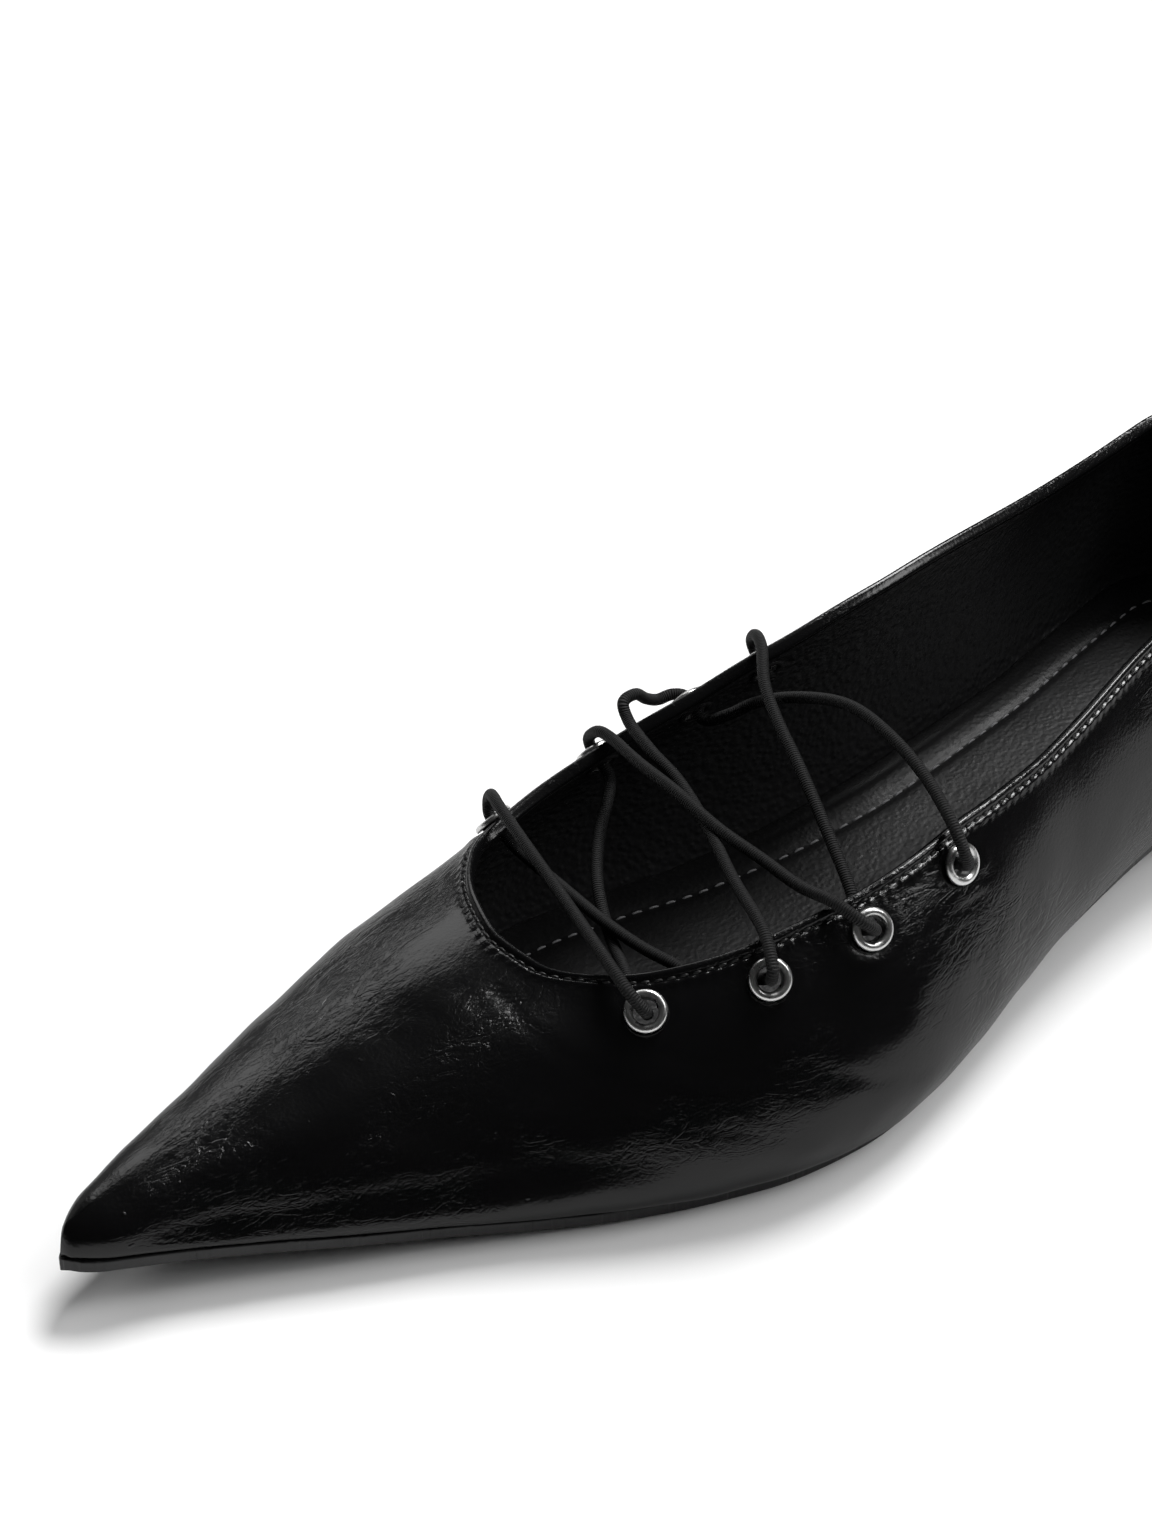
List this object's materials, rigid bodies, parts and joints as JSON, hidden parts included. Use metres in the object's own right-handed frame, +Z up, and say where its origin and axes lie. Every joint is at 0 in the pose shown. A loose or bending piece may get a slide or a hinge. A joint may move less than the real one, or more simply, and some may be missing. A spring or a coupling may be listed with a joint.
{
  "type": "lace-up ballet flat",
  "caption": "Low pointed-toe flat for the left foot with a round throat, a row of metal eyelets along each side and one elastic cord laced across it.",
  "frame": {"origin": "under the middle of the shoe's bounding box, on the floor it stands on", "axes": "+X from the toe to the heel, +Y to the inner side of the foot, +Z up"},
  "size_m": [0.269, 0.0824, 0.0608],
  "materials": {
    "upper_leather": "high gloss, finely crinkled",
    "sole_rubber": "satin",
    "heel_rubber": "satin",
    "insole_leather": "fine grain, padded, stitched round",
    "eyelet_metal": "bright",
    "lace_elastic": "matte ribbed cord"
  },
  "bodies": {
    "root": {"upper": "upper_leather", "outsole": "sole_rubber", "heel": "heel_rubber", "insole": "insole_leather", "eyelet_outer_1": "eyelet_metal", "eyelet_outer_2": "eyelet_metal", "eyelet_outer_3": "eyelet_metal", "eyelet_outer_4": "eyelet_metal", "eyelet_inner_1": "eyelet_metal", "eyelet_inner_2": "eyelet_metal", "eyelet_inner_3": "eyelet_metal", "eyelet_inner_4": "eyelet_metal", "lace": "lace_elastic"}
  },
  "joints": []
}
